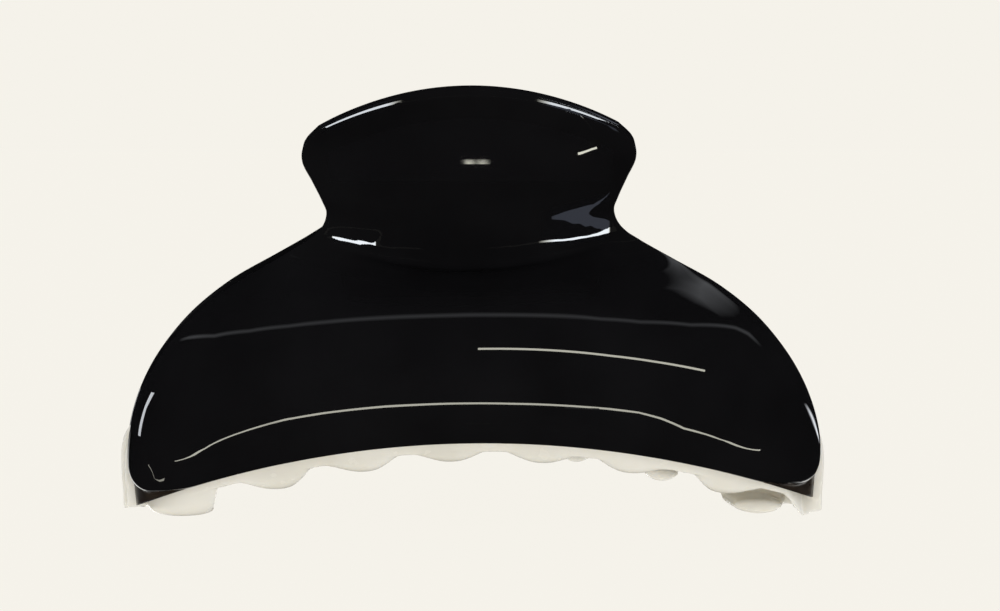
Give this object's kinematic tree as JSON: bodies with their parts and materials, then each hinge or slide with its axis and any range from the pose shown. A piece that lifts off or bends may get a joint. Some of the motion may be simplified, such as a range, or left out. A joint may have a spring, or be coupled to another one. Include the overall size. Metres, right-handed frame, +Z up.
{
  "type": "hair clip",
  "caption": "Large claw hair clip: toothed jaws, black outside and ivory inside, close on a sprung hinge pin.",
  "frame": {"origin": "on the table the clip stands on, under the middle of the closed clip", "axes": "+X along the hinge pin and the row of teeth, +Z up from the teeth to the thumb tabs, front jaw towards -Y"},
  "size_m": [0.09, 0.0402, 0.0542],
  "materials": {
    "black_gloss": "high gloss",
    "ivory_gloss": "gloss",
    "spring_steel": "drawn wire"
  },
  "bodies": {
    "front_jaw": {"front_shell": "black_gloss", "front_liner": "ivory_gloss", "hinge_pin": "spring_steel", "spring_coil": "spring_steel"},
    "back_jaw": {"back_shell": "black_gloss", "back_liner": "ivory_gloss", "spring_leg": "spring_steel"}
  },
  "joints": [
    {"name": "jaw_hinge", "type": "hinge", "parent": "front_jaw", "child": "back_jaw", "pos_m": [0, 0, 0.036], "axis": [1, 0, 0], "range_deg": [0, 80], "stiffness_Nm_per_rad": 0.04, "springref_deg": -40.11}
  ]
}
